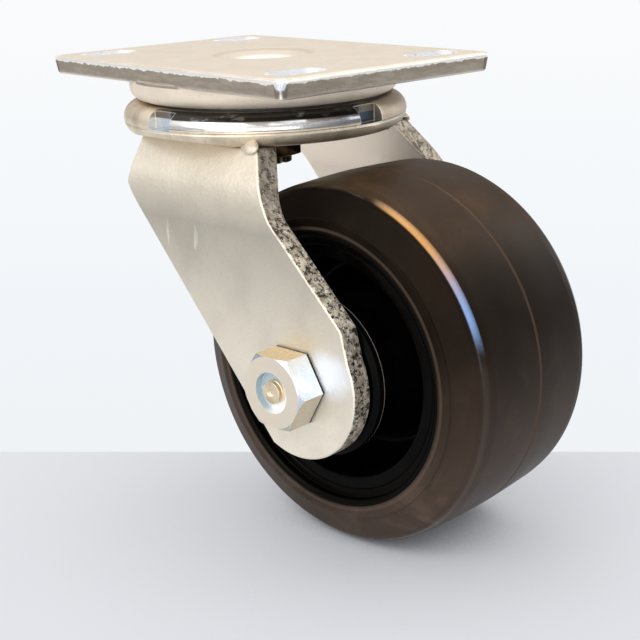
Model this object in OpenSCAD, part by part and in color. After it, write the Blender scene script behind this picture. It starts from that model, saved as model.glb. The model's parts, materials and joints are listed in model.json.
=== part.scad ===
// Swivel caster with a forged top plate, a double ball raceway and a moulded wheel on a roller bearing.
// Origin: centre of the mounting face on the swivel axis, +Z towards the machine, +Y is the way it rolls.

/* [Mounting plate] */
// Plate size across the axle
plate_w = 114.3; // [100:0.1:130]
// Plate size along the way it rolls
plate_l = 158.75; // [140:0.05:180]
// Plate thickness at the edge
plate_t = 8; // [6:0.1:12]
// Corner radius of the plate
plate_corner_r = 3; // [2:0.5:14]
// Distance of the slot centres from the side edges of the plate
slot_side = 20.25; // [17:0.05:24]
// Distance of the slot centres from the end edges of the plate
slot_end = 14.7; // [12:0.05:18]
// Bolt slot width
slot_w = 14.3; // [11:0.1:15]
// Distance between the end centres of a slot
slot_run = 12; // [6:0.5:14]
// Lean of the slots towards the corners
slot_lean = 0; // [0:1:30]

/* [Swivel] */
// Angle of the fork to the plate as it stands
swivel_angle = 5.5; // [-180:0.5:180]
// Radius of the forged race boss under the plate
boss_r = 58; // [56:0.1:60]
// Radius of the yoke base
yoke_r = 61.4; // [60:0.1:66]
// Thickness of the yoke base
yoke_t = 13.5; // [13:0.1:16]
// Ball diameter of the upper race
ball_d = 9.5; // [8:0.1:10]
// Ball diameter of the lower race
low_ball_d = 6.35; // [5:0.05:7]
// Kingpin journal radius
kingpin_r = 12.7; // [11:0.1:14]

/* [Fork] */
// Trail from the swivel axis to the axle
trail = 68.3; // [60:0.1:76]
// Clear width between the legs
leg_gap = 97; // [95:0.1:104]
// Thickness of a leg
leg_t = 9.5; // [8:0.1:11]
// Radius of the leg end round the axle
leg_end_r = 31.4; // [29:0.1:34]
// Lean of the upper part of a leg
leg_lean = 32; // [20:1:36]

/* [Wheel] */
// Wheel diameter
wheel_d = 152.4; // [140:0.1:156]
// Tread width between the shoulders
tread_w = 67.6; // [60:0.1:70]
// Overall height of the caster
overall_h = 195.2; // [190:0.1:210]
// Hub length
hub_len = 88.8; // [84:0.1:89]
// Axle bolt diameter
axle_d = 19; // [16:0.1:20]
// Roller diameter
roller_d = 6.35; // [5:0.05:7]

/* [Hidden] */
$fn = 96;
// Radial clearance of a ball or roller in its track
track_clear = 0.06;
// Raceways, heights below the mounting face
boss_bot = -(plate_t + 8.3);
boss_edge = 5;
dish_r = 22;
dish_d = 2.6;
yoke_top = boss_bot - 1.2;
yoke_bot = yoke_top - yoke_t;
rim_r = yoke_t / 2;
rim_z = (yoke_top + yoke_bot) / 2;
ball_r = ball_d / 2;
ball_ring_r = 44;
ball_z = (boss_bot + yoke_top) / 2;
ball_n = floor(PI * 2 * ball_ring_r / (ball_d + 0.6));
boss_pocket_r = 37.5;
boss_pocket_z = boss_bot + 5.6;
yoke_hub_r = boss_pocket_r - 1.5;
yoke_hub_z = boss_pocket_z - 1.2;
low_ball_r = low_ball_d / 2;
low_ring_r = 22;
low_roof_z = yoke_top - 4;
low_ball_z = low_roof_z - low_ball_r + 0.8;
low_ball_n = floor(PI * 2 * low_ring_r / (low_ball_d + 0.4));
low_pocket_r = 30;
race_top = low_ball_z - low_ball_r + 1.4;
race_bot = yoke_bot + 0.8;
race_collar_r = 14;
race_collar_z = race_bot - 5;
// Kingpin stud, its nut and the cotter
yoke_bore_r = kingpin_r + 0.3;
stud_r = 8.5;
nut_af = 27;
nut_z = race_collar_z - 8;
crown_r = 10.6;
crown_z = nut_z - 3.4;
stud_z = crown_z - 0.6;
cotter_r = 1.3;
cotter_z = (nut_z + crown_z) / 2;
seal_in_r = 49.6;
seal_out_r = 52.2;
// Notches of the swivel lock
notch_w = 13;
notch_d = 4.6;
notch_z = rim_z - 0.9;
// Axle position and the legs
wheel_r = wheel_d / 2;
axle_z = wheel_r - overall_h;
// The wheel sits further back where it would come nearer to the yoke base than this
wheel_gap = 3;
axle_back = max(trail, yoke_r + sqrt(max(0, pow(wheel_r + wheel_gap, 2) - pow(yoke_bot - axle_z, 2))));
leg_in = leg_gap / 2;
leg_out = leg_in + leg_t;
leg_bend_r = 30;
leg_bend_z = -58;
leg_front = 28.3;
leg_rear = 41.5;
leg_low = axle_z - leg_end_r - 2;
// Outer and inner face of a leg where it meets the yoke base
seam_out = leg_out - leg_bend_r * (1 - cos(leg_lean))
  - (yoke_bot - leg_bend_z - leg_bend_r * sin(leg_lean)) * tan(leg_lean);
seam_in = seam_out - leg_t / cos(leg_lean);
// Slope of the flats forged on the yoke base beside the legs
flat_slope = 11.8;
axle_r = axle_d / 2;
axle_fit = 0.2;
head_af = 28.6;
head_h = 13;
head_recess_r = 8.3;
head_recess_d = 3.4;
oil_r = 2;
washer_t = 2.8;
lock_nut_h = 16;
// Wheel and bearing
edge_x = tread_w / 2;
lip_x = edge_x + 6.6;
step_r = wheel_r - 14.4;
pocket_r = wheel_r - 21.6;
core_r = pocket_r - 3.5;
hub_r = 31;
hub_half = hub_len / 2;
cap_r = 33.5;
cap_t = 2.2;
cap_skirt = 3;
bush_r = axle_r + 4.8;
roller_r = roller_d / 2;
roller_ring_r = bush_r + track_clear + roller_r;
hub_bore_r = roller_ring_r + roller_r + track_clear;
roller_n = 12;
roller_half = 35;
thrust_t = leg_in - hub_half - cap_t - 0.3;

// Places a fork piece: local +X is the axle and local -Y the trail
module fork() { rotate([0, 0, swivel_angle]) children(); }

// Places a piece round the axle, its local Z along the axle from the left leg to the right
module axle() { fork() translate([0, -axle_back, axle_z]) rotate([0, 90, 0]) children(); }

module both_sides() {
  children();
  mirror([0, 0, 1]) children();
}

module ring(r_in, r_out, z0, z1) {
  translate([0, 0, z0]) difference() {
    cylinder(r = r_out, h = z1 - z0);
    translate([0, 0, -1]) cylinder(r = r_in, h = z1 - z0 + 2);
  }
}

module torus(r, tube) { rotate_extrude() translate([r, 0]) circle(r = tube); }

module hex(af, h) { cylinder(r = af / sqrt(3), h = h, $fn = 6); }

// Half of the drafted edge section of the plate, from its middle out to run, with rounded edges
module edge_half(run) {
  top = 1.6;
  low = 1.4;
  draft = 0.9;
  polygon([[0, 0], [run - top, 0], [run, -top], [run - draft, low - plate_t],
    [run - draft - low, -plate_t], [0, -plate_t]]);
  translate([run - top, -top]) circle(r = top);
  translate([run - draft - low, low - plate_t]) circle(r = low);
}

module edge_bar(run, len) {
  rotate([90, 0, 0]) translate([0, 0, -len / 2]) linear_extrude(len) {
    edge_half(run);
    mirror([1, 0]) edge_half(run);
  }
}

module plate_blank() {
  r = plate_corner_r;
  edge_bar(plate_w / 2, plate_l - 2 * r);
  rotate([0, 0, 90]) edge_bar(plate_l / 2, plate_w - 2 * r);
  for (x = [-1, 1], y = [-1, 1])
    translate([x * (plate_w / 2 - r), y * (plate_l / 2 - r), 0]) rotate_extrude() edge_half(r);
}

module slot_cuts() {
  for (x = [0, 1], y = [0, 1]) mirror([x, 0, 0]) mirror([0, y, 0])
    translate([plate_w / 2 - slot_side, plate_l / 2 - slot_end, -plate_t - 1]) rotate([0, 0, slot_lean]) {
      for (s = [-1, 1]) translate([s * slot_run / 2, 0, 0]) cylinder(d = slot_w, h = plate_t + 2);
      translate([-slot_run / 2, -slot_w / 2, 0]) cube([slot_run, slot_w, plate_t + 2]);
    }
}

// The race boss, its lower edge rounded
module boss() {
  rotate_extrude() {
    translate([0, boss_bot]) square([boss_r - boss_edge, -boss_bot - plate_t + 1]);
    translate([0, boss_bot + boss_edge]) square([boss_r, -boss_bot - boss_edge - plate_t + 1]);
    translate([boss_r - boss_edge, boss_bot + boss_edge]) circle(r = boss_edge);
  }
}

// Forged plate, race boss and kingpin in one piece
module top_plate() {
  ball_sphere = (dish_r * dish_r + dish_d * dish_d) / (2 * dish_d);
  color([0.80, 0.76, 0.70]) {
    difference() {
      union() {
        plate_blank();
        boss();
      }
      slot_cuts();
      translate([0, 0, ball_sphere - dish_d]) sphere(r = ball_sphere, $fn = 180);
      translate([0, 0, boss_bot - 1]) cylinder(r = boss_pocket_r, h = boss_pocket_z - boss_bot + 1);
      translate([0, 0, ball_z]) torus(ball_ring_r, ball_r + track_clear);
      ring(seal_in_r, seal_out_r, boss_bot - 1, boss_bot + 1.4);
    }
    difference() {
      union() {
        translate([0, 0, race_top]) cylinder(r = kingpin_r, h = boss_pocket_z - race_top + 1);
        translate([0, 0, stud_z + 1]) cylinder(r = stud_r, h = race_top - stud_z);
        translate([0, 0, stud_z]) cylinder(r1 = stud_r - 1, r2 = stud_r, h = 1);
      }
      rotate([0, 0, 30]) translate([-20, 0, cotter_z]) rotate([0, 90, 0])
        cylinder(r = cotter_r + 0.1, h = 40);
    }
  }
}

module race_seal() {
  color([0.30, 0.22, 0.15]) ring(seal_in_r, seal_out_r, yoke_top + 0.1, boss_bot + 1.4);
}

// Lower race with the collar that the kingpin nut bears on
module lower_race() {
  color([0.35, 0.34, 0.33]) difference() {
    union() {
      ring(stud_r + 0.1, low_pocket_r - 1.5, race_bot, race_top);
      ring(stud_r + 0.1, race_collar_r, race_collar_z, race_bot + 1);
    }
    translate([0, 0, low_ball_z]) torus(low_ring_r, low_ball_r + track_clear);
  }
}

// Chamfer of the nut's corners towards the stud's end
module nut_flank() {
  h = race_collar_z - nut_z;
  translate([0, 0, nut_z]) cylinder(r1 = nut_af / 2 + 0.2, r2 = nut_af / 2 + 4 * h, h = h);
}

module kingpin_nut() {
  color([0.17, 0.15, 0.14]) difference() {
    union() {
      intersection() {
        translate([0, 0, nut_z]) hex(nut_af, race_collar_z - nut_z);
        nut_flank();
      }
      translate([0, 0, crown_z]) cylinder(r = crown_r, h = nut_z - crown_z + 1);
    }
    translate([0, 0, crown_z - 1]) cylinder(r = stud_r, h = race_collar_z - crown_z + 2);
    for (a = [30:60:150]) rotate([0, 0, a])
      translate([-20, -cotter_r - 0.2, crown_z - 1]) cube([40, 2 * cotter_r + 0.4, nut_z - crown_z + 1]);
  }
}

// Cotter pin: an eye on one side, two tails bent up on the other
module kingpin_cotter() {
  reach = nut_af / 2 + 2;
  eye_r = 2.6;
  color([0.72, 0.56, 0.30]) rotate([0, 0, 30]) {
    translate([-reach, 0, cotter_z]) rotate([0, 90, 0]) cylinder(r = cotter_r, h = 2 * reach);
    translate([-reach - eye_r, 0, cotter_z]) rotate([90, 0, 0]) torus(eye_r, 1);
    for (s = [-1, 1]) translate([reach, 0, cotter_z]) rotate([s * 50, 0, 0]) {
      sphere(r = cotter_r);
      cylinder(r = cotter_r * 0.8, h = 7);
    }
  }
}

module ball_ring(n, r, tube, z) {
  for (i = [0:n - 1]) rotate([0, 0, i * 360 / n]) translate([r, 0, z]) sphere(r = tube, $fn = 32);
}

module upper_balls() { fork() color([0.8, 0.8, 0.82]) ball_ring(ball_n, ball_ring_r, ball_r, ball_z); }

module lower_balls() {
  fork() color([0.8, 0.8, 0.82]) ball_ring(low_ball_n, low_ring_r, low_ball_r, low_ball_z);
}

// Solid of the yoke base before its notches and tracks are cut, with a sloped flat above each leg
module yoke_blank() {
  difference() {
    rotate_extrude() {
      translate([0, yoke_bot]) square([yoke_r - rim_r, yoke_t]);
      translate([yoke_r - rim_r, rim_z]) circle(r = rim_r);
      translate([0, yoke_top - 1]) square([yoke_hub_r, yoke_hub_z - yoke_top + 1]);
    }
    for (side = [0, 1]) mirror([side, 0, 0]) translate([-seam_out - 0.5, 0, yoke_bot])
      rotate([0, flat_slope, 0]) translate([-30, -60, -10]) cube([30, 120, 10]);
  }
}

module yoke_base() {
  fork() color([0.80, 0.76, 0.70]) difference() {
    yoke_blank();
    translate([0, 0, yoke_bot - 1]) cylinder(r = yoke_bore_r, h = 40);
    translate([0, 0, yoke_bot - 1]) cylinder(r = low_pocket_r, h = low_roof_z - yoke_bot + 1);
    translate([0, 0, low_ball_z]) torus(low_ring_r, low_ball_r + track_clear);
    translate([0, 0, ball_z]) torus(ball_ring_r, ball_r + track_clear);
    translate([0, 0, rim_z - 1.2]) torus(yoke_r + 0.2, 0.8);
    for (a = [0:90:270]) rotate([0, 0, a]) translate([yoke_r - notch_d, -notch_w / 2, notch_z])
      cube([20, notch_w, 20]);
  }
}

// Extrudes an outline seen along the axle: its x is the trail, its y the height
module side_cut() { rotate([90, 0, -90]) translate([0, 0, -10]) linear_extrude(90) children(); }

// Side form of a leg: straight cut edges, a knee behind and a round end about the axle
module leg_side() {
  front = [-leg_front, axle_z + 69.1];
  run = [axle_back - 0.39 * leg_end_r, axle_z - 0.945 * leg_end_r] - front;
  low = axle_z - 0.64 * leg_end_r;
  difference() {
    union() {
      side_cut() polygon([[-leg_front, yoke_bot], [leg_rear, yoke_bot], [leg_rear + 16.6, yoke_bot - 25.6],
        [axle_back + 0.8 * leg_end_r, axle_z + 0.84 * leg_end_r],
        [axle_back + 0.93 * leg_end_r, axle_z + 0.32 * leg_end_r], [axle_back, low], [-leg_front, low]]);
      translate([-80, -axle_back, axle_z]) rotate([0, 90, 0]) cylinder(r = leg_end_r, h = 90);
    }
    side_cut() polygon([front - 0.2 * run, front + 1.1 * run, [-90, leg_low - 20],
      [-90, (front - 0.2 * run).y]]);
  }
}

// Everything on the inner side of one bent face of the left leg, longer all round by more
module bent_side(face_r, more) {
  lap = 0.02;
  translate([leg_bend_r - leg_out, 60 + more, leg_bend_z]) rotate([90, 0, 0]) {
    long = axle_back + leg_end_r + 90 + 2 * more;
    cylinder(r = face_r, h = long);
    translate([-face_r, leg_low - leg_bend_z - more, 0])
      cube([80 + more, leg_bend_z - leg_low + more, long]);
    rotate(-leg_lean) translate([lap - face_r, 0, 0]) cube([80 + more, 34 + more, long]);
  }
}

module leg_form() {
  intersection() {
    difference() {
      bent_side(leg_bend_r, 0);
      bent_side(leg_bend_r - leg_t, 20);
    }
    leg_side();
  }
}

module leg() {
  color([0.80, 0.76, 0.70]) difference() {
    leg_form();
    translate([-leg_out - 1, -axle_back, axle_z]) rotate([0, 90, 0])
      cylinder(r = axle_r + axle_fit, h = leg_t + 2);
  }
}

module leg_left() { fork() leg(); }

module leg_right() { fork() mirror([1, 0, 0]) leg(); }

// Fillet weld along the inner seam of a leg and the run-out blob at the rear end of its outer seam
module weld_set() {
  bead_r = 4.2;
  difference() {
    translate([-seam_in - bead_r + 0.4, leg_front - 2, yoke_bot]) rotate([90, 0, 0])
      cylinder(r = bead_r, h = leg_front + leg_rear - 5);
    translate([-60, -60, yoke_bot]) cube([60, 120, 2 * bead_r]);
    leg_form();
  }
  difference() {
    translate([-seam_out - 2.4, 3.5 - leg_rear, yoke_bot + 0.6]) sphere(r = bead_r + 0.4);
    yoke_blank();
    leg_form();
  }
}

module leg_welds() {
  fork() color([0.74, 0.71, 0.66]) {
    weld_set();
    mirror([1, 0, 0]) weld_set();
  }
}

module axle_bolt() {
  tip = leg_out + washer_t + lock_nut_h + 3;
  color([0.85, 0.84, 0.82]) axle() difference() {
    union() {
      intersection() {
        translate([0, 0, -leg_out - head_h]) rotate([0, 0, 90]) hex(head_af, head_h);
        translate([0, 0, -leg_out - head_h])
          cylinder(r1 = head_af / 2 + 0.2, r2 = head_af / 2 + 40, h = 24);
      }
      translate([0, 0, -leg_out - 1]) cylinder(r = axle_r, h = leg_out + tip);
      translate([0, 0, tip - 1]) cylinder(r1 = axle_r, r2 = axle_r - 1.4, h = 2);
    }
    translate([0, 0, -leg_out - head_h - 1]) cylinder(r = head_recess_r, h = head_recess_d + 1);
    translate([0, 0, -leg_out - head_h - 1]) cylinder(r = oil_r, h = leg_out + head_h + 3);
    rotate([90, 0, 0]) cylinder(r = oil_r - 0.5, h = axle_r + 1);
  }
}

// Grease nipple in the recess of the bolt head
module axle_fitting() {
  floor_z = -leg_out - head_h + head_recess_d;
  color([0.80, 0.66, 0.38]) axle() translate([0, 0, floor_z]) mirror([0, 0, 1]) {
    hex(8, 1.4);
    translate([0, 0, 1]) cylinder(r1 = 3.2, r2 = 2, h = 1.4);
    translate([0, 0, 2.2]) cylinder(r = 1.9, h = 1.4);
    translate([0, 0, 3.6]) sphere(r = 2.5);
    translate([0, 0, -4]) cylinder(r = oil_r, h = 5);
  }
}

module axle_washer() {
  color([0.82, 0.80, 0.77]) axle() ring(axle_r + axle_fit, 17.5, leg_out, leg_out + washer_t);
}

module axle_nut() {
  z0 = leg_out + washer_t;
  color([0.82, 0.80, 0.77]) axle() difference() {
    union() {
      intersection() {
        translate([0, 0, z0]) rotate([0, 0, 90]) hex(head_af, lock_nut_h - 3);
        translate([0, 0, z0 - 24 + lock_nut_h - 3])
          cylinder(r1 = head_af / 2 + 40, r2 = head_af / 2 + 0.2, h = 24);
      }
      translate([0, 0, z0]) cylinder(r = 12.6, h = lock_nut_h);
    }
    translate([0, 0, z0 - 1]) cylinder(r = axle_r, h = lock_nut_h + 2);
  }
}

// Hardened sleeve clamped between the legs, which the rollers run on
module spanner_bushing() {
  color([0.6, 0.6, 0.6]) axle() difference() {
    ring(axle_r + axle_fit, bush_r, -leg_in, leg_in);
    rotate([90, 0, 0]) cylinder(r = oil_r, h = bush_r + 1);
  }
}

module thrust_washers() {
  color([0.5, 0.48, 0.42]) axle() both_sides()
    ring(bush_r + 0.2, hub_bore_r + 4.2, leg_in - thrust_t, leg_in);
}

// Section of the moulded tread: x is the radius, y the distance from the middle
module tread_half() {
  polygon([[wheel_r, 0], [wheel_r - 0.3, 0.6], [wheel_r - 0.9, edge_x - 6], [wheel_r - 1.3, edge_x - 2.6],
    [wheel_r - 2.4, edge_x - 0.4], [wheel_r - 4.4, edge_x + 1.4], [step_r + 0.9, lip_x - 1.4],
    [step_r + 0.5, lip_x - 0.5], [step_r - 0.6, lip_x - 0.3], [pocket_r + 1.2, lip_x], [pocket_r, lip_x - 1.2],
    [pocket_r, lip_x - 4], [core_r + 0.6, lip_x - 4], [core_r, lip_x - 4.6], [core_r, 0]]);
}

module wheel_tread() {
  color([0.17, 0.15, 0.13]) axle() both_sides() rotate_extrude($fn = 180) tread_half();
}

// Cast core: rim, dished web and hub
module core_half() {
  web = 7;
  polygon([[hub_bore_r, 0], [hub_bore_r, hub_half], [hub_r - 1, hub_half], [hub_r, hub_half - 1],
    [hub_r, hub_half - cap_skirt - 0.6], [hub_r + 2, web + 5], [hub_r + 6, web], [core_r - 11, web],
    [core_r - 7.5, web + 5], [core_r - 5, lip_x - 5.2], [core_r - 4.4, lip_x - 4.6], [core_r, lip_x - 4.6], [core_r, 0]]);
}

module wheel_core() {
  color([0.06, 0.06, 0.06]) axle() both_sides() rotate_extrude() core_half();
}

// Pressed dust caps over the hub ends
module hub_caps() {
  color([0.09, 0.09, 0.09]) axle() both_sides() {
    ring(bush_r + 0.6, cap_r, hub_half, hub_half + cap_t);
    ring(hub_r, cap_r, hub_half - cap_skirt, hub_half + 0.5);
  }
}

module bearing_rollers() {
  color([0.75, 0.75, 0.77]) axle() for (i = [0:roller_n - 1]) rotate([0, 0, i * 360 / roller_n])
    translate([roller_ring_r, 0, -roller_half]) cylinder(r = roller_r, h = 2 * roller_half, $fn = 32);
}

module bearing_cage() {
  bar = 1.1;
  color([0.62, 0.56, 0.4]) axle() {
    both_sides() ring(bush_r + 0.5, hub_bore_r - 0.5, roller_half + 0.3, roller_half + 4);
    for (i = [0:roller_n - 1]) rotate([0, 0, (i + 0.5) * 360 / roller_n])
      translate([roller_ring_r, 0, -roller_half - 1]) cylinder(r = bar, h = 2 * roller_half + 2, $fn = 24);
  }
}

top_plate();
race_seal();
lower_race();
kingpin_nut();
kingpin_cotter();
upper_balls();
lower_balls();
yoke_base();
leg_left();
leg_right();
leg_welds();
axle_bolt();
axle_fitting();
axle_washer();
axle_nut();
spanner_bushing();
thrust_washers();
wheel_tread();
wheel_core();
hub_caps();
bearing_rollers();
bearing_cage();
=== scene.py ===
import json
import math
import bpy
import bmesh
from mathutils import Matrix, Vector

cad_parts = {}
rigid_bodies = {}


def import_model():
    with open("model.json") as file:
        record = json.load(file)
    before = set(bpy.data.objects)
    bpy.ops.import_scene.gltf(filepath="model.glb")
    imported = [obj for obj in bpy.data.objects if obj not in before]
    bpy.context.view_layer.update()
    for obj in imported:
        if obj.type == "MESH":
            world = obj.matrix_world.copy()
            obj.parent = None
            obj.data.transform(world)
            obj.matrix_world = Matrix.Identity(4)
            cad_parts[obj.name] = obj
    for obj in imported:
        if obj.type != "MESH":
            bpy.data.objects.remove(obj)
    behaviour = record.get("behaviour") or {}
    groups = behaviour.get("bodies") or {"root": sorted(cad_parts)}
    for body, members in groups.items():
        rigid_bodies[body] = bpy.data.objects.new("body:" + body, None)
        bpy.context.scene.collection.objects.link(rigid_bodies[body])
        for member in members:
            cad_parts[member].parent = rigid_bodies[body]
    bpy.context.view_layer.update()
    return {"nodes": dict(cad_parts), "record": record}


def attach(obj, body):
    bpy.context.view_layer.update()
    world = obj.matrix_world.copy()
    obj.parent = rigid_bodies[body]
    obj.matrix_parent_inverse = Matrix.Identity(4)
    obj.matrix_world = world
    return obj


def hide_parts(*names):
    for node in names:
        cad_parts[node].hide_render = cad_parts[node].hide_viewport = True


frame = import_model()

nodes = frame["nodes"]
scene = bpy.context.scene
scene.view_settings.view_transform = "Standard"
print("castor: frame loaded with", len(nodes), "solids")

# where the pieces sit, in metres and degrees, as the solids have them
layout = {
    "swivelAngle": 5.5,
    "trail": 0.0683,
    "axleHeight": -0.119,
    "wheelRadius": 0.0762,
    "yokeRadius": 0.0614,
    "yokeTop": -0.0175,
    "yokeBottom": -0.031,
    "legOuter": 0.058,
    "legInner": 0.0485,
    "plateHalf": (0.05715, 0.079375),
    "seamOut": 0.0465,
    "headFace": 0.071,
    "capEdge": (0.0335, 0.0425),    # radius of the dust caps' inner edge, and how far out it lies
    "slabBottom": -0.0083,
    "grooveHeight": -0.0239,
}
forkTurn = Matrix.Rotation(math.radians(layout["swivelAngle"]), 4, "Z")
# the axle's own frame: Z along the axle from the left leg to the right, Y ahead
axlePlace = (0, -layout["trail"], layout["axleHeight"])
axleTurn = forkTurn @ Matrix.Translation(axlePlace) @ Matrix.Rotation(math.radians(90), 4, "Y")
axleDir = (forkTurn.to_3x3() @ Vector((1, 0, 0))).normalized()


class Sock:
    # one output of a shader tree; arithmetic on it adds Math nodes
    def __init__(self, build, socket):
        self.build = build
        self.socket = socket

    def math(self, operation, other=None):
        values = {0: self} if other is None else {0: self, 1: other}
        return self.build.node("ShaderNodeMath", {"operation": operation}, values)

    def reflected(self, operation, other):
        return self.build.node("ShaderNodeMath", {"operation": operation}, {0: other, 1: self})

    def __add__(self, other): return self.math("ADD", other)
    def __radd__(self, other): return self.math("ADD", other)
    def __sub__(self, other): return self.math("SUBTRACT", other)
    def __rsub__(self, other): return self.reflected("SUBTRACT", other)
    def __mul__(self, other): return self.math("MULTIPLY", other)
    def __rmul__(self, other): return self.math("MULTIPLY", other)
    def __truediv__(self, other): return self.math("DIVIDE", other)
    def __rtruediv__(self, other): return self.reflected("DIVIDE", other)
    def __pow__(self, other): return self.math("POWER", other)
    def __neg__(self): return self.math("MULTIPLY", -1.0)
    def __abs__(self): return self.math("ABSOLUTE")

    def smooth(self, low, high, toLow=0.0, toHigh=1.0):
        return self.build.node("ShaderNodeMapRange", {"interpolation_type": "SMOOTHSTEP"},
                               {"Value": self, "From Min": low, "From Max": high, "To Min": toLow, "To Max": toHigh})


class Finish:
    # a procedural material under construction
    def __init__(self, name):
        self.mat = bpy.data.materials.new(name)
        self.mat.use_nodes = True
        self.tree = self.mat.node_tree
        self.tree.nodes.clear()
        self.output = self.tree.nodes.new("ShaderNodeOutputMaterial")
        self.shader = self.tree.nodes.new("ShaderNodeBsdfPrincipled")
        self.tree.links.new(self.shader.outputs[0], self.output.inputs["Surface"])
        self.place = self.node("ShaderNodeTexCoord", out="Object")

    def node(self, kind, settings=None, values=None, out=0):
        made = self.tree.nodes.new(kind)
        for key, value in (settings or {}).items():
            if key == "stops":
                ramp = made.color_ramp
                while len(ramp.elements) < len(value):
                    ramp.elements.new(0.5)
                for element, (at, colour) in zip(ramp.elements, value):
                    element.position = at
                    element.color = colour if len(colour) == 4 else (*colour, 1)
            else:
                setattr(made, key, value)
        for key, value in (values or {}).items():
            if isinstance(value, Sock):
                self.tree.links.new(value.socket, made.inputs[key])
            else:
                made.inputs[key].default_value = value
        return Sock(self, made.outputs[out])

    def noise(self, scale, detail=3.0, rough=0.5, stretch=None, distort=0.0):
        place = self.place
        if stretch:
            place = self.node("ShaderNodeMapping", {}, {"Vector": place, "Scale": stretch})
        return self.node("ShaderNodeTexNoise", {}, {"Vector": place, "Scale": scale, "Detail": detail,
                                                    "Roughness": rough, "Distortion": distort}, "Fac")

    def cells(self, scale):
        return self.node("ShaderNodeTexVoronoi", {}, {"Vector": self.place, "Scale": scale}, "Distance")

    def dot(self, vector, direction):
        values = {0: vector, 1: tuple(direction)}
        return self.node("ShaderNodeVectorMath", {"operation": "DOT_PRODUCT"}, values, "Value")

    def split(self, vector):
        outs = self.node("ShaderNodeSeparateXYZ", {}, {0: vector}).socket.node.outputs
        return tuple(Sock(self, outs[key]) for key in ("X", "Y", "Z"))

    def facing(self, direction):
        # how far the surface looks along a fixed direction of the object, from -1 to 1
        return self.dot(self.node("ShaderNodeTexCoord", out="Normal"), direction)

    def blend(self, factor, a, b):
        made = self.tree.nodes.new("ShaderNodeMix")
        made.data_type = "RGBA"
        for key, value in ((0, factor), (6, a), (7, b)):
            if isinstance(value, Sock):
                self.tree.links.new(value.socket, made.inputs[key])
            else:
                made.inputs[key].default_value = (*value, 1) if isinstance(value, tuple) and len(value) == 3 else value
        return Sock(self, made.outputs[2])

    def bump(self, height, distance):
        return self.node("ShaderNodeBump", {}, {"Height": height, "Distance": distance, "Strength": 1.0}, "Normal")

    def dress(self, **inputs):
        for key, value in inputs.items():
            name = {"baseColor": "Base Color", "roughness": "Roughness", "metallic": "Metallic", "normal": "Normal",
                    "coat": "Coat Weight", "coatRoughness": "Coat Roughness", "specular": "Specular IOR Level",
                    "specularTint": "Specular Tint"}[key]
            socket = self.shader.inputs[name]
            if isinstance(value, Sock):
                self.tree.links.new(value.socket, socket)
            else:
                socket.default_value = (*value, 1) if isinstance(value, tuple) and len(value) == 3 else value
        return self.mat


def tone(red, green, blue):
    # a colour as a picture shows it, 0 to 255, made linear
    return tuple(((c / 255 + 0.055) / 1.055) ** 2.4 if c > 10 else c / 255 / 12.92 for c in (red, green, blue))


def tones(look):
    # the same for every colour in a finish's dictionary; its plain numbers stay
    return {key: tone(*value) if isinstance(value, tuple) else value for key, value in look.items()}


# camera and stage
view = {
    "azimuth": -41.07, "elevation": 17.63, "roll": -1.89,
    "distance": 0.58002, "side": 0.02068, "height": -0.12145, "lens": 70.894,
    "floor": -0.1952,
    "floorLine": -0.1047,    # slope from the camera axis at which the floor turns from grey to white
    "frameEdge": 0.254,      # slope at the frame's edge
}


def makeCamera():
    azimuth, elevation, roll = (math.radians(view[k]) for k in ("azimuth", "elevation", "roll"))
    right = Vector((math.cos(azimuth), math.sin(azimuth), 0))
    level = math.cos(elevation)
    back = Vector((math.sin(azimuth) * level, -math.cos(azimuth) * level, math.sin(elevation)))
    up = back.cross(right)
    place = right * view["side"] + Vector((0, 0, view["height"])) + back * view["distance"]
    x = right * math.cos(roll) + up * math.sin(roll)
    y = up * math.cos(roll) - right * math.sin(roll)
    data = bpy.data.cameras.new("camera")
    data.lens = view["lens"]
    data.sensor_width = 36
    data.clip_start = 0.01
    data.clip_end = 60
    made = bpy.data.objects.new("camera", data)
    made.matrix_world = Matrix.Translation(place) @ Matrix((x, y, back)).transposed().to_4x4()
    scene.collection.objects.link(made)
    scene.camera = made
    return place, back, y


cameraPlace, cameraBack, cameraUp = makeCamera()
ahead = Vector((-cameraBack.x, -cameraBack.y, 0)).normalized()
across = Vector((ahead.y, -ahead.x, 0))


def addLamp(name, place, target, size, power, colour):
    data = bpy.data.lights.new(name, "AREA")
    data.shape = "RECTANGLE"
    data.size, data.size_y = size
    data.energy = power
    data.color = colour
    made = bpy.data.objects.new(name, data)
    direction = place - target
    made.matrix_world = Matrix.Translation(place) @ direction.to_track_quat("Z", "Y").to_matrix().to_4x4()
    scene.collection.objects.link(made)
    return made


middle = Vector((0, -0.03, -0.1))
boltHead = Vector((-0.06, -0.07, -0.12))
studio = {
    # power, size, colour, where it hangs and what it looks at
    "lamps": {
        "key": (7.0, (0.9, 0.7), (1.0, 0.96, 0.91),
                middle - ahead * 0.75 - across * 0.75 + Vector((0, 0, 0.75)), middle),
        "top": (6.5, (1.1, 0.9), (1, 1, 1), middle + ahead * 0.25 + Vector((0, 0, 1.05)), middle),
        "back": (3.5, (0.35, 0.9), (1.0, 0.92, 0.84),
                 middle + ahead * 0.55 + across * 0.95 + Vector((0, 0, 0.45)), middle),
        "front": (2.4, (1.1, 0.5), (1, 1, 1), middle - ahead * 1.1 + Vector((0, 0, 0.12)), middle),
        "side": (0.75, (0.34, 0.34), (1, 1, 1), boltHead + Vector((0.626, -0.633, 0.474)) * 1.3, boltHead),
        "fill": (2.6, (0.55, 0.55), (1.0, 0.97, 0.93), middle + Vector((-1.0, -0.42, 0.02)), middle),
    },
    "skyLow": 0.38, "skyHigh": 1.0, "worldTint": (0.98, 0.99, 1.0),
    "floorHalf": 12.0, "floorPaint": 0.53, "floorGlow": 0.66, "floorShade": 0.11,
}
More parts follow.
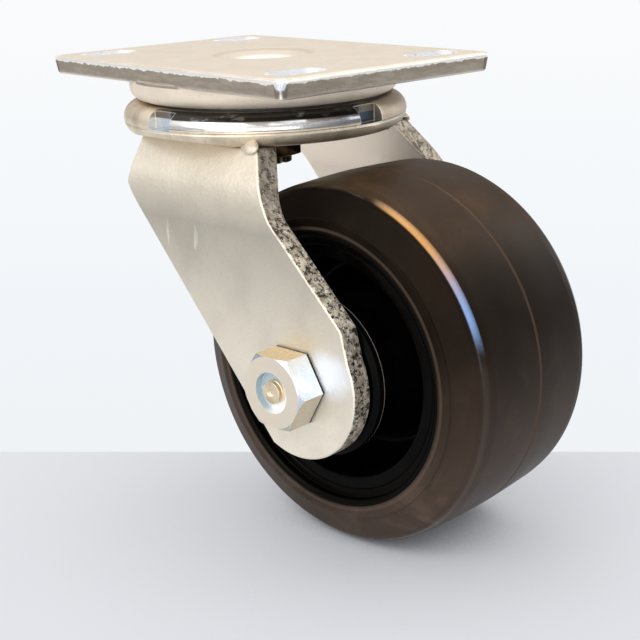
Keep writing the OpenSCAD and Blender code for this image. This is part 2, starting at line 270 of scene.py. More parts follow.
for lampName, (power, size, colour, place, target) in studio["lamps"].items():
    addLamp(lampName, place, target, size, power, colour)

world = bpy.data.worlds.new("studio")
scene.world = world
world.use_nodes = True
worldTree = world.node_tree
worldTree.nodes.clear()


def lightWorld():
    # a soft white room, dimmer near the horizon; the camera sees plain white
    def add(kind): return worldTree.nodes.new(kind)
    link = worldTree.links.new
    place = add("ShaderNodeTexCoord")
    parts = add("ShaderNodeSeparateXYZ")
    link(place.outputs["Generated"], parts.inputs[0])
    level = add("ShaderNodeMapRange")
    level.interpolation_type = "SMOOTHSTEP"
    link(parts.outputs["Z"], level.inputs["Value"])
    for key, value in (("From Min", 0.02), ("From Max", 0.75),
                       ("To Min", studio["skyLow"]), ("To Max", studio["skyHigh"])):
        level.inputs[key].default_value = value
    room = add("ShaderNodeBackground")
    room.inputs["Color"].default_value = (*studio["worldTint"], 1)
    link(level.outputs[0], room.inputs["Strength"])
    white = add("ShaderNodeBackground")
    white.inputs["Color"].default_value = (*tone(250, 251, 253), 1)
    path = add("ShaderNodeLightPath")
    mix = add("ShaderNodeMixShader")
    out = add("ShaderNodeOutputWorld")
    link(path.outputs["Is Camera Ray"], mix.inputs[0])
    link(room.outputs[0], mix.inputs[1])
    link(white.outputs[0], mix.inputs[2])
    link(mix.outputs[0], out.inputs["Surface"])


lightWorld()


def makeFloor():
    size = studio["floorHalf"]
    mesh = bpy.data.meshes.new("floor")
    z = view["floor"]
    mesh.from_pydata([(-size, -size, z), (size, -size, z), (size, size, z), (-size, size, z)], [], [(0, 1, 2, 3)])
    made = bpy.data.objects.new("floor", mesh)
    scene.collection.objects.link(made)
    fin = Finish("studio_floor")

    # slope of each floor point from the camera axis, as the camera stands in this file
    deep = 0 - (fin.dot(fin.place, cameraBack) - cameraBack.dot(cameraPlace))
    slope = (fin.dot(fin.place, cameraUp) - cameraUp.dot(cameraPlace)) / deep
    line = view["floorLine"]
    paint = studio["floorPaint"]
    edge = view["frameEdge"]
    near = fin.node("ShaderNodeValToRGB", {"stops": [
        (0.0, (paint * 0.975, paint * 0.99, paint * 1.03)), (1.0, (paint, paint * 1.01, paint * 1.04))]},
                    {"Fac": (slope + edge) / (line + edge)})
    far = fin.node("ShaderNodeValToRGB", {"stops": [
        (0.0, tone(239, 243, 246)), (0.33, tone(241, 245, 249)), (0.55, tone(244, 248, 250)),
        (1.0, tone(250, 251, 253))]},
                   {"Fac": (slope - line) / (edge - line)})
    fin.dress(baseColor=near, roughness=0.9, specular=0.0)
    behind = slope.smooth(line - 0.0008, line + 0.0008) * deep.smooth(0.3, 0.4)
    # painted shadow: the floor's glow is darkened by ambient occlusion round the wheel, standing in for its contact
    # shadow
    close = fin.node("ShaderNodeAmbientOcclusion", {"samples": 8}, {"Distance": studio["floorShade"]}, "AO")
    paintedLight = fin.node("ShaderNodeValToRGB", {"stops": [
        (0.0, (0, 0, 0)), (0.20, tone(112, 114, 118)), (0.38, tone(192, 195, 200)), (0.60, tone(208, 211, 216)),
        (1.0, tone(226, 229, 234))]}, {"Fac": close})
    glow = fin.node("ShaderNodeEmission", {}, {"Color": fin.blend(behind, paintedLight, far), "Strength": 1.0})
    seen = fin.node("ShaderNodeLightPath", out="Is Camera Ray")
    glossy = Sock(fin, seen.socket.node.outputs["Is Glossy Ray"])
    share = behind.smooth(0, 1, studio["floorGlow"], 1.0) * seen + glossy
    fin.node("ShaderNodeMixShader", {}, {0: share, 1: Sock(fin, fin.shader.outputs[0]), 2: glow})
    fin.tree.links.new(fin.tree.nodes[-1].outputs[0], fin.output.inputs["Surface"])
    mesh.materials.append(fin.mat)


makeFloor()
print("castor: camera, lamps and floor are set")


# finishes
def wornEdge(fin, radius, low=0.02, high=0.25):
    # 1 where the surface turns over an edge within the radius, 0 on flat ground
    soft = fin.node("ShaderNodeBevel", {"samples": 6}, {"Radius": radius})
    normal = fin.node("ShaderNodeNewGeometry", out="Normal")
    same = fin.node("ShaderNodeVectorMath", {"operation": "DOT_PRODUCT"}, {0: soft, 1: normal}, "Value")
    return (1 - same).smooth(low, high)


def castGrain(fin, coarse=70, fine=900):
    # skin of a forging under zinc: gentle swells, a fine grain and a few pits
    swell = fin.noise(coarse, 3, 0.5)
    grain = fin.noise(fine, 3, 0.65)
    pits = fin.cells(fine * 0.22).smooth(0.05, 0.20)
    lumps = fin.noise(fine * 0.5, 2, 0.5)
    return swell, grain, pits, swell * 0.8 + lumps * 0.9 + grain * 0.35 + pits * 0.12


def forkFrame(fin):
    # position in the turned fork's own frame: x, y, z and the distance from the swivel axis
    x, y, z = fin.split(fin.node("ShaderNodeVectorRotate", {"rotation_type": "Z_AXIS"},
                                 {"Vector": fin.place, "Angle": math.radians(-layout["swivelAngle"])}, "Vector"))
    return x, y, z, (x * x + y * y) ** 0.5


def makeZincPlate():
    look = tones({"light": (216, 203, 187), "dark": (198, 186, 170), "bright": (252, 249, 243), "side": (151, 140, 127),
                  "collar": (240, 228, 210), "soot": (120, 112, 102), "slot": (250, 251, 253), "ring": (176, 150, 122),
                  "paintedLight": (226, 236, 250)})
    fin = Finish("zinc_forging")
    swell, grain, pits, level = castGrain(fin)
    x, y, z, far = forkFrame(fin)
    up = fin.facing((0, 0, 1))
    colour = fin.blend(swell.smooth(0.35, 0.68) * 0.5, look["light"], look["dark"])
    colour = fin.blend(grain.smooth(0.56, 0.72) * 0.30, colour, look["side"])
    # the slab's own walls: rough sheared sides, and a painted highlight, near white, inside the slots
    slab = (z - layout["slabBottom"]).smooth(-0.0002, 0.0002)
    wall = (1 - abs(up).smooth(0.35, 0.75)) * slab
    plateX, plateY, plateZ = fin.split(fin.place)
    pastX, pastY = abs(plateX) - layout["plateHalf"][0], abs(plateY) - layout["plateHalf"][1]
    outer = pastX.math("MAXIMUM", pastY)
    rim = outer.smooth(-0.0016, -0.0008) * wall
    rip = fin.noise(240, 4, 0.65, stretch=(0.4, 0.4, 1.6)).smooth(0.38, 0.66)
    side = fin.blend(rip * 0.35, look["side"], look["dark"])
    side = fin.blend(fin.noise(900, 3, 0.7).smooth(0.58, 0.72) * 0.30, side, look["soot"])
    colour = fin.blend(rim, colour, side)
    colour = fin.blend(wall * (1 - rim) * far.smooth(0.0595, 0.0605), colour, look["slot"])
    colour = fin.blend((1 - pits) * 0.30, colour, look["soot"])
    # painted shade: faces that look upwards are darker
    colour = fin.blend(up.smooth(0.8, 0.95) * 0.45, colour, look["dark"])
    # painted light: the boss below the slab is lighter
    colour = fin.blend((1 - slab) * 0.25, colour, look["collar"])
    # painted highlight and painted shade in place of a shallow dish over the kingpin: a bright spot, with a brown
    # shaded ring at its edge
    dish = up.smooth(0.8, 0.95) * (z + 0.004).smooth(0, 0.001)
    colour = fin.blend((1 - far.smooth(0.0085, 0.0150)) * dish * 0.6, colour, look["bright"])
    colour = fin.blend((1 - abs(far - 0.0205).smooth(0.0006, 0.0026)) * dish * 0.3, colour, look["ring"])
    # painted highlight at the nearest corner: a blue-white glint on its rounding
    cornerGlint = fin.node("ShaderNodeVectorMath", {"operation": "DISTANCE"},
                     {0: fin.place, 1: (-layout["plateHalf"][0], -layout["plateHalf"][1], -0.0018)}, "Value")
    cornerGlint = 1 - (cornerGlint + (fin.noise(300) - 0.5) * 0.002).smooth(0.0028, 0.0040)
    colour = fin.blend(cornerGlint, colour, look["paintedLight"])
    # ragged bright line along the top edge, and a dull rounding at each corner
    ragged = fin.noise(260, 4, 0.65)
    top = rim * (z + 0.0024 + (ragged - 0.5) * 0.0030).smooth(0, 0.0004)
    corner = pastX.smooth(-0.0045, -0.0035) * pastY.smooth(-0.0045, -0.0035)
    colour = fin.blend(corner * rim * (1 - cornerGlint) * 0.7, colour, look["soot"])
    worn = (wornEdge(fin, 0.0010) * (1 - corner)).math("MAXIMUM", top)
    colour = fin.blend(worn * 0.85, colour, look["bright"])
    rough = 0.46 + grain * 0.08 - worn * 0.16 - cornerGlint * 0.24 + corner * (1 - cornerGlint) * 0.3
    return fin.dress(baseColor=colour, roughness=rough, metallic=0.42 + slab * 0.32,
                     normal=fin.bump(level + rim * rip * 1.5, 0.00010))


def makeZincYoke():
    look = tones({"light": (234, 220, 198), "dark": (200, 187, 167), "bright": (250, 247, 240), "roll": (248, 248, 248),
                  "soot": (110, 102, 92), "collarShade": (40, 38, 34), "notch": (204, 216, 230), "notchRear": (66, 76, 88),
                  "rollRear": (150, 154, 160), "dull": (150, 140, 128), "rollRough": 0.16})
    fin = Finish("zinc_yoke")
    swell, grain, pits, level = castGrain(fin)
    x, y, z, far = forkFrame(fin)
    colour = fin.blend(swell.smooth(0.35, 0.68), look["light"], look["dark"])
    colour = fin.blend(grain.smooth(0.56, 0.72) * 0.30, colour, look["soot"])
    colour = fin.blend((1 - pits) * 0.35, colour, look["soot"])
    # turned roll above the groove, with a painted reflection: bright on two opposite quarters between the notches
    outside = far.smooth(0.0535, 0.0555)
    above = z.smooth(-0.0256, -0.0250)
    paintedQuarters = (x * y * 1e4).smooth(-0.2, 2.4)
    streak = fin.noise(60, 4, 0.6, stretch=(1.0, 1.0, 9.0))
    roll = outside * z.smooth(-0.0240, -0.0236) * paintedQuarters * streak.smooth(0.25, 0.42)
    # the four swivel-lock notches; the floor of each gets a painted blue-grey reflection, darker towards the rear
    nearest = abs(x).math("MINIMUM", abs(y))
    slit = outside * above * (1 - nearest.smooth(0.0062, 0.0066))
    notch = slit * (1 - z.smooth(-0.0209, -0.0204))
    groove = outside * (1 - abs(z - layout["grooveHeight"]).smooth(0.0001, 0.0004)) * (1 - notch) * paintedQuarters
    # painted shade: darker round to the rear, and on the far side of the rear notch
    rear = x.smooth(-0.040, -0.012) * y.smooth(0.0, -0.02)
    colour = fin.blend(x.smooth(0.002, 0.010) * y.smooth(0.0, -0.02) * 0.8, colour, look["dull"])
    colour = fin.blend(roll, colour, fin.blend(rear, look["roll"], look["rollRear"]))
    colour = fin.blend(notch, colour, fin.blend(rear, look["notch"], look["notchRear"]))
    # painted shade: the shoulder under the plate's collar and the notch walls are dark, broken by a few painted glints
    glint = fin.noise(170, 3, 0.6, stretch=(1.0, 1.0, 3.0)).smooth(0.56, 0.66)
    shadeUnderCollar = outside * paintedQuarters * (z + 0.0208).smooth(0, 0.0006) * (1 - glint * 0.25)
    paintedShade = (shadeUnderCollar * (1 - notch) * 0.97).math("MAXIMUM", (slit - notch) * 0.75)
    colour = fin.blend(paintedShade, colour, look["collarShade"])
    # painted shade: a dark line in the groove on the same quarters
    colour = fin.blend(groove * 0.75, colour, look["soot"])
    worn = wornEdge(fin, 0.0010)
    colour = fin.blend(worn * 0.8, colour, look["bright"])
    rough = 0.44 + grain * 0.08 - worn * 0.16 - roll * (0.46 - look["rollRough"]) - notch * 0.22
    return fin.dress(baseColor=colour, roughness=rough, metallic=0.92,
                     normal=fin.bump(level * (1 - roll * 0.7), 0.00010))


def makeZincLeg():
    look = tones({"light": (252, 243, 226), "dark": (232, 222, 205), "bright": (253, 250, 243), "cut": (182, 168, 148),
                  "cutLight": (246, 234, 214), "cutDark": (52, 46, 40), "shaded": (110, 104, 96), "inner": (255, 240, 222),
                  "scuff": (176, 166, 150)})
    fin = Finish("zinc_leg")
    swell, grain, pits, level = castGrain(fin, 48, 1100)
    x, y, z, far = forkFrame(fin)
    side = abs(fin.facing(tuple(axleDir)))
    edge = 1 - side.smooth(0.30, 0.62)
    # painted light and shade down each leg: brighter towards the foot, darkest where the plate's shadow ends
    ramp = [(0.0, 1.0), (0.22, 0.94), (0.42, 0.82), (0.60, 0.66), (0.75, 0.53), (0.90, 0.90), (1.0, 0.92)]
    shade = fin.node("ShaderNodeValToRGB", {"stops": [(at, (grey, grey, grey)) for at, grey in ramp]},
                     {"Fac": (z + 0.152) / 0.121})
    colour = fin.blend(swell.smooth(0.35, 0.70) * 0.6, look["light"], look["dark"])
    colour = fin.blend(grain.smooth(0.56, 0.72) * 0.22, colour, look["scuff"])
    colour = fin.node("ShaderNodeMix", {"data_type": "RGBA", "blend_type": "MULTIPLY"},
                      {0: 1.0, 6: colour, 7: shade}, 2)
    # cut edges: pale, pitted with black and white
    rip = fin.noise(300, 4, 0.65, stretch=(1.0, 1.0, 0.5))
    cut = fin.blend(rip.smooth(0.40, 0.64), look["cut"], look["cutLight"])
    cut = fin.blend(fin.noise(420, 4, 0.75).smooth(0.51, 0.56) * 0.95, cut, look["cutDark"])
    cut = fin.blend(fin.noise(480, 3, 0.7, distort=0.4).smooth(0.57, 0.64), cut, look["bright"])
    cut = fin.blend(z.smooth(-0.068, -0.046) * 0.60, cut, look["shaded"])
    # painted light: the inner faces are lighter and a little pinker than the outer ones
    inner = (fin.facing(tuple(axleDir)) * x * -100).smooth(0.5, 2.0)
    colour = fin.blend(inner, colour, look["inner"])
    colour = fin.blend(edge, colour, cut)
    # plain scuffs across the middle of each leg
    scratch = fin.noise(230, 2, 0.5, stretch=(0.2, 1.0, 0.22)).smooth(0.60, 0.66)
    spread = ((y + 0.006) ** 2 + ((z + 0.076) * 0.6) ** 2) ** 0.5
    scuffed = scratch * (1 - spread.smooth(0.006, 0.016)) * (1 - edge)
    colour = fin.blend(scuffed * 0.5, colour, look["bright"])
    # painted highlight: a bright glare on the leg beside the bolt head
    boltGlare = ((y + 0.0885) ** 2 + (z + 0.1122) ** 2) ** 0.5
    boltGlare = (1 - (boltGlare + (fin.noise(120) - 0.5) * 0.004).smooth(0.0050, 0.0122)) * (1 - edge)
    colour = fin.blend(boltGlare, colour, (1.0, 1.0, 1.0))
    worn = wornEdge(fin, 0.0011)
    colour = fin.blend(worn * (1 - edge * 0.6) * 0.85, colour, look["bright"])
    height = level * (1 - edge) + edge * (rip * 2.4 + grain)
    rough = 0.44 + grain * 0.08 - worn * 0.14 + edge * 0.10
    return fin.dress(baseColor=colour, roughness=rough, metallic=0.88 - inner * 0.1, normal=fin.bump(height, 0.00016))


def makeBoltZinc():
    look = tones({"facet": (232, 238, 246), "dark": (196, 204, 216), "face": (238, 227, 208), "gap": (12, 14, 20),
                  "top": (240, 220, 184), "under": (206, 200, 186), "recess": (190, 206, 214), "bright": (255, 255, 255)})
    fin = Finish("bolt_zinc")
    x, y, z, far = forkFrame(fin)
    cloud = fin.noise(70, 4, 0.6).smooth(0.34, 0.70)
    fine = fin.noise(420, 3, 0.65)
    colour = fin.blend(cloud, look["facet"], look["dark"])
    # painted light and shade: golden flats above, grey ones below; and a plain pale end face
    up = fin.facing((0, 0, 1))
    colour = fin.blend(up.smooth(0.80, 0.95), colour, look["top"])
    colour = fin.blend((0 - up).smooth(0.25, 0.45), colour, look["under"])
    face = abs(fin.facing(tuple(axleDir))).smooth(0.93, 0.98)
    colour = fin.blend(face, colour, look["face"])
    out = abs(x) - layout["legOuter"]
    # painted reflection in the round recess in the head: blue-grey ahead of the fitting, white below it
    offY, offZ = y + layout["trail"], z - layout["axleHeight"]
    near = (offY ** 2 + offZ ** 2) ** 0.5
    recess = (1 - near.smooth(0.0082, 0.0085)) * out.smooth(0.0085, 0.0092) * x.smooth(0.001, -0.001)
    front = ((offY + offZ * 0.6) / 0.008).smooth(-0.5, 0.1)
    colour = fin.blend(recess, colour, fin.blend(front, look["bright"], look["recess"]))
    # the shadowed joint where the head and the nut meet the legs
    gap = out.smooth(-0.0004, 0.0) * (1 - out.smooth(0.0010, 0.0012)) * (1 - face)
    colour = fin.blend(gap * x.smooth(0.001, -0.001), colour, look["gap"])
    worn = wornEdge(fin, 0.0006)
    colour = fin.blend(worn * 0.7, colour, look["bright"])
    rough = 0.20 + cloud * 0.08 + face * 0.20 - worn * 0.06 + fine * 0.04 + recess * 0.2
    return fin.dress(baseColor=colour, roughness=rough, metallic=0.96 - recess * 0.6,
                     normal=fin.bump(fine + cloud * 0.5, 0.00003))


def makePlainMetal(name, light, dark, rough, metallic=1.0, grain=500, height=0.00004, bright=(238, 236, 230)):
    # a turned, rolled or plated metal with clouding and rubbed edges
    fin = Finish(name)
    cloud = fin.noise(grain * 0.16, 4, 0.6).smooth(0.34, 0.70)
    fine = fin.noise(grain, 3, 0.65)
    colour = fin.blend(cloud, tone(*light), tone(*dark))
    worn = wornEdge(fin, 0.0008)
    colour = fin.blend(worn * 0.7, colour, tone(*bright))
    return fin.dress(baseColor=colour, roughness=rough + cloud * 0.10 - worn * 0.10 + fine * 0.04, metallic=metallic,
                     normal=fin.bump(fine + cloud * 0.5, height))


def wheelFrame(fin):
    # position about the axle: distance from it, distance along it, height above it and distance behind it
    hub = forkTurn @ Vector(axlePlace)

    def along(direction):
        return fin.dot(fin.place, direction) - direction.dot(hub)
    over = along(axleDir)
    rise = along(Vector((0, 0, 1)))
    back = along(forkTurn.to_3x3() @ Vector((0, -1, 0)))
    return (rise * rise + back * back) ** 0.5, over, rise, back


def makeTreadRubber():
    look = tones({"dark": (11, 7, 4), "light": (25, 17, 11), "dust": (112, 96, 86), "dustAndSheenAmount": 0.54, "seam": (104, 86, 70),
                  "lip": (92, 80, 70), "pocket": (2, 2, 2), "crownHighlight": (128, 98, 70), "warm": (214, 158, 92),
                  "cold": (140, 172, 226)})
    fin = Finish("tread_rubber")
    far, over, rise, back = wheelFrame(fin)
    cloud = fin.noise(24, 5, 0.6).smooth(0.35, 0.70)
    fine = fin.noise(900, 3, 0.6)
    smear = fin.noise(48, 5, 0.62, distort=0.6).smooth(0.46, 0.74)
    colour = fin.blend(cloud, look["dark"], look["light"])
    # dust and a painted reflection of the floor low down on both sides, and a painted warm highlight on top
    low = (back * 0.55 - rise * 0.83).math("MAXIMUM", rise * -0.60 - back * 0.80) / 0.076
    dustAndFloorSheen = low.smooth(0.15, 1.0) * (0.6 + smear * 0.4)
    colour = fin.blend(dustAndFloorSheen * look["dustAndSheenAmount"], colour, look["dust"])
    crownHighlight = rise.smooth(0.040, 0.074) * far.smooth(0.0735, 0.0745)
    colour = fin.blend(crownHighlight * 0.30 * (0.5 + smear * 0.5), colour, look["crownHighlight"])
    # painted highlight: a warm-to-blue streak round the near shoulder's upper part
    shoulder = (far + abs(over) * 0.6).smooth(0.0935, 0.0938)
    high = ((back + rise) * 0.707 / 0.0745).smooth(0.86, 0.95)
    glow = fin.blend((rise / 0.0745).smooth(0.45, 0.80), look["cold"], look["warm"])
    colour = fin.blend(shoulder * high * over.smooth(0.01, -0.01) * 0.75, colour, glow)
    # parting line, a painted highlight along the step on the side, and painted shade in the pocket inside it
    seam = 1 - abs(over).smooth(0.0005, 0.0009)
    colour = fin.blend(seam * far.smooth(0.074, 0.075) * 0.42, colour, look["seam"])
    lip = 1 - abs(far - 0.0586).smooth(0.0003, 0.0009)
    colour = fin.blend(lip * 0.34, colour, look["lip"])
    pocket = 1 - far.smooth(0.0570, 0.0574)
    colour = fin.blend(pocket, colour, look["pocket"])
    rough = 0.36 + cloud * 0.07 + smear * 0.08
    level = fine * 0.25 + fin.noise(140, 4, 0.55) * 0.5
    return fin.dress(baseColor=colour, roughness=rough, metallic=0.0, specular=0.065, specularTint=(1.0, 0.82, 0.66),
                     coat=shoulder * 0.5, coatRoughness=0.16, normal=fin.bump(level, 0.00006))


def makeCoreBlack(name="core_black", base=(2, 2, 2), rough=0.22, rim=0.0):
    fin = Finish(name)
    cloud = fin.noise(46, 4, 0.6).smooth(0.36, 0.68)
    peel = fin.noise(240, 3, 0.5)
    colour = fin.blend(cloud, tone(*base), tone(base[0] + 5, base[1] + 4, base[2] + 4))
    if rim:
        # painted highlight: a thin light line round the edge that faces the wheel
        far, over, rise, back = wheelFrame(fin)
        radius, out = layout["capEdge"]
        line = far.smooth(radius - 0.0010, radius - 0.0006) * (1 - abs(abs(over) - out).smooth(0.0002, 0.0005))
        colour = fin.blend(line * rim, colour, tone(196, 184, 172))
    return fin.dress(baseColor=colour, roughness=rough + cloud * 0.10, metallic=0.0, specular=0.05,
                     normal=fin.bump(peel, 0.00008))


def makeRubberSeal():
    fin = Finish("seal_rubber")
    dust = fin.noise(120, 4, 0.6).smooth(0.45, 0.72)
    colour = fin.blend(dust * 0.4, tone(34, 32, 30), tone(96, 88, 78))
    return fin.dress(baseColor=colour, roughness=0.55 + dust * 0.2, metallic=0.0,
                     normal=fin.bump(fin.noise(600), 0.00005))


finishes = {
    "zinc_forging": makeZincPlate(),
    "zinc_yoke": makeZincYoke(),
    "zinc_leg": makeZincLeg(),
    "weld_metal": makePlainMetal("weld_metal", (240, 230, 213), (206, 196, 180), 0.46, 0.88, 700, 0.00012),
    "seal_rubber": makeRubberSeal(),
    "race_steel": makePlainMetal("race_steel", (196, 188, 172), (128, 118, 100), 0.40, grain=700, height=0.00006),
    "dark_nut": makePlainMetal("dark_nut", (104, 82, 58), (52, 42, 32), 0.36, 1.0, 600, 0.00008, (226, 206, 176)),
    "cotter_zinc": makePlainMetal("cotter_zinc", (206, 186, 140), (150, 128, 84), 0.34, grain=900),
    "ball_steel": makePlainMetal("ball_steel", (206, 206, 208), (176, 176, 180), 0.12, grain=300, height=0.00001),
    "bolt_zinc": makeBoltZinc(),
    "fitting_brass": makePlainMetal("fitting_brass", (246, 230, 202), (214, 194, 160), 0.30, grain=900, height=0.00003),
    "bush_steel": makePlainMetal("bush_steel", (150, 148, 144), (104, 100, 96), 0.30, grain=500),
    "washer_bronze": makePlainMetal("washer_bronze", (150, 128, 92), (96, 80, 56), 0.38, grain=500),
    "tread_rubber": makeTreadRubber(),
    "core_black": makeCoreBlack(),
    "cap_black": makeCoreBlack("cap_black", (4, 4, 4), 0.42, 0.6),
    "cage_steel": makePlainMetal("cage_steel", (190, 176, 140), (140, 124, 90), 0.34, grain=700),
}
slotOf = {part["node"]: part["material_slot"] for part in frame["record"]["subparts"]}
print("castor: finishes are made", len(finishes))


# pieces: mesh helpers
def addPiece(name, mesh, body, slotName, replaced=(), finish=None):
    made = bpy.data.objects.new(name, mesh)
    scene.collection.objects.link(made)
    mesh.materials.clear()
    mesh.materials.append(finishes[finish or slotName])
    if replaced:
        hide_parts(*replaced)
    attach(made, body)
    return made


def cleanCopy(node, name, dissolve=0.4):
    # the node's loose triangles, joined, with flat faces whole again
    mesh = nodes[node].data.copy()
    mesh.name = name
    work = bmesh.new()
    work.from_mesh(mesh)
    bmesh.ops.remove_doubles(work, verts=work.verts, dist=1e-6)
    bmesh.ops.dissolve_limit(work, angle_limit=math.radians(dissolve), verts=work.verts, edges=work.edges)
    work.to_mesh(mesh)
    work.free()
    return mesh


def softEdges(obj, width, segments=3, angle=28):
    bevel = obj.modifiers.new("edges", "BEVEL")
    bevel.width = width
    bevel.segments = segments
    bevel.limit_method = "ANGLE"
    bevel.angle_limit = math.radians(angle)
    bevel.use_clamp_overlap = True
    bevel.miter_outer = "MITER_ARC"
    for polygon in obj.data.polygons:
        polygon.use_smooth = True
    weigh = obj.modifiers.new("shading", "WEIGHTED_NORMAL")
    weigh.keep_sharp = True
    weigh.weight = 80


def softCopy(node, body, width, segments=3, angle=28, dissolve=0.4, finish=None):
    made = addPiece(node + "_form", cleanCopy(node, node + "_form", dissolve), body, slotOf[node], (node,), finish)
    softEdges(made, width, segments, angle)
    return made


def rounded(points, closed=True, steps=4):
    # points are (x, y, radius); each corner is turned by an arc that ends on its two sides
    made = []
    count = len(points)
    for i, (x, y, radius) in enumerate(points):
        here = Vector((x, y))
        if radius <= 0 or (not closed and i in (0, count - 1)):
            made.append(here)
            continue
        before = Vector(points[i - 1][:2]) - here
        after = Vector(points[(i + 1) % count][:2]) - here
        reach = min(before.length, after.length) * 0.48
        u, v = before.normalized(), after.normalized()
        angle = u.angle(v)
        cut = min(radius / math.tan(angle / 2), reach)
        start, end = here + u * cut, here + v * cut
        for k in range(steps + 1):
            t = k / steps
            made.append(start * (1 - t) ** 2 + here * 2 * t * (1 - t) + end * t ** 2)
    return made


class Growth:
    # a Geometry Nodes tree under construction, with named inputs
    kinds = {"float": "NodeSocketFloat", "int": "NodeSocketInt"}

    def __init__(self, name, inputs):
        self.tree = bpy.data.node_groups.new(name, "GeometryNodeTree")
        face = self.tree.interface
        face.new_socket("Geometry", in_out="INPUT", socket_type="NodeSocketGeometry")
        face.new_socket("Geometry", in_out="OUTPUT", socket_type="NodeSocketGeometry")
        self.ids = {}
        for key, value in inputs.items():
            kind = "int" if isinstance(value, int) else "float"
            made = face.new_socket(key, in_out="INPUT", socket_type=self.kinds[kind])
            made.default_value = value
            self.ids[key] = made.identifier
        self.start = self.tree.nodes.new("NodeGroupInput")
        self.end = self.tree.nodes.new("NodeGroupOutput")

    def input(self, key):
        return Sock(self, self.start.outputs[key])

    def node(self, kind, settings=None, values=None, out=0):
        made = self.tree.nodes.new(kind)
        for key, value in (settings or {}).items():
            setattr(made, key, value)
        for key, value in (values or {}).items():
            if isinstance(value, Sock):
                self.tree.links.new(value.socket, made.inputs[key])
            else:
                made.inputs[key].default_value = value
        return Sock(self, made.outputs[out])

    def close(self, geometry, slotName):
        whole = self.node("GeometryNodeRealizeInstances", {}, {"Geometry": geometry})
        dressed = self.node("GeometryNodeSetMaterial", {}, {"Geometry": whole, "Material": finishes[slotName]})
        self.tree.links.new(dressed.socket, self.end.inputs[0])

    def grow(self, name, source, **values):
        # runs the tree on a mesh and gives back the plain mesh that comes out
        obj = bpy.data.objects.new(name + "_seed", source)
        scene.collection.objects.link(obj)
        modifier = obj.modifiers.new("growth", "NODES")
        modifier.node_group = self.tree
        for key, value in values.items():
            modifier[self.ids[key]] = value
        bpy.context.view_layer.update()
        graph = bpy.context.evaluated_depsgraph_get()
        mesh = bpy.data.meshes.new_from_object(obj.evaluated_get(graph), depsgraph=graph)
        mesh.name = name
        obj.modifiers.remove(modifier)
        bpy.data.objects.remove(obj)
        return mesh


def pointMesh(name, points):
    mesh = bpy.data.meshes.new(name)
    mesh.from_pydata([(p[0], p[1], 0.0) for p in points], [], [])
    return mesh


def tidyMesh(mesh, place):
    work = bmesh.new()
    work.from_mesh(mesh)
    bmesh.ops.remove_doubles(work, verts=work.verts, dist=2e-6)
    bmesh.ops.dissolve_degenerate(work, dist=1e-7, edges=work.edges)
    bmesh.ops.recalc_face_normals(work, faces=work.faces)
    bmesh.ops.transform(work, matrix=place, verts=work.verts)
    for face in work.faces:
        face.smooth = True
    work.to_mesh(mesh)
    work.free()
    return mesh


def makeTurning():
    # turns a profile of (radius, along) points about Z; the rim may waver a little, as a moulding does
    tree = Growth("turning", {"Profile Points": 8, "Segments": 128, "Waver": 0.0, "Waver Scale": 30.0, "Seed": 3})
    count, segments = tree.input("Profile Points"), tree.input("Segments")
    grid = tree.node("GeometryNodeMeshGrid", {},
                     {"Size X": 1.0, "Size Y": 1.0, "Vertices X": count, "Vertices Y": segments + 1})
    index = tree.node("GeometryNodeInputIndex")
    rows = segments + 1
    step = index.math("DIVIDE", rows).math("FLOOR")
    turn = (index - step * rows) * (2 * math.pi) / segments
    place = tree.node("GeometryNodeInputPosition")
    profile = tree.node("GeometryNodeSampleIndex", {"data_type": "FLOAT_VECTOR", "domain": "POINT"},
                        {"Geometry": Sock(tree, tree.start.outputs["Geometry"]), "Value": place, "Index": step})
    radius = tree.node("ShaderNodeSeparateXYZ", {}, {0: profile})
    along = Sock(tree, radius.socket.node.outputs["Y"])
    x, y = radius * turn.math("COSINE"), radius * turn.math("SINE")
    spot = tree.node("ShaderNodeCombineXYZ", {}, {"X": x, "Y": y, "Z": along})
    noise = tree.node("ShaderNodeTexNoise", {"noise_dimensions": "4D"}, {"Vector": spot, "W": tree.input("Seed"),
                      "Scale": tree.input("Waver Scale"), "Detail": 2.0}, "Fac")
    grown = 1 + (noise - 0.5) * tree.input("Waver") / radius.math("MAXIMUM", 0.001)
    spot = tree.node("ShaderNodeCombineXYZ", {}, {"X": x * grown, "Y": y * grown, "Z": along})
    shaped = tree.node("GeometryNodeSetPosition", {}, {"Geometry": grid, "Position": spot})
    joined = tree.node("GeometryNodeMergeByDistance", {}, {"Geometry": shaped, "Distance": 2e-6})
    return tree, joined


turningTree, turningEnd = makeTurning()
endNodes = ("GeometryNodeRealizeInstances", "GeometryNodeSetMaterial")


def turned(name, profile, slotName, segments, waver=0.0, closed=True):
    tree = turningTree
    for old in [n for n in tree.tree.nodes if n.bl_idname in endNodes]:
        tree.tree.nodes.remove(old)
    tree.close(turningEnd, slotName)
    points = profile + [profile[0]] if closed else profile
    values = {"Profile Points": len(points), "Segments": segments, "Waver": waver}
    return tidyMesh(tree.grow(name, pointMesh(name + "_profile", points), **values), axleTurn)


# wheel: tread, cast core and dust caps
treadSize = {
    "radius": 0.0762, "edge": 0.0338, "lip": 0.0404, "step": 0.0618, "pocket": 0.0546, "core": 0.0511,
    "seamDepth": 0.00035, "seamHalf": 0.0007, "segments": 192,
}
coreSize = {"bore": 0.02077, "hubHalf": 0.0444, "hub": 0.031, "web": 0.007, "skirt": 0.003, "segments": 144}
capSize = {"inner": 0.0149, "outer": 0.0335, "thick": 0.0022, "segments": 128}


def mirrored(half):
    # a half profile, from the middle out, made whole
    return half + [(r, -z, q) for r, z, q in reversed(half)]


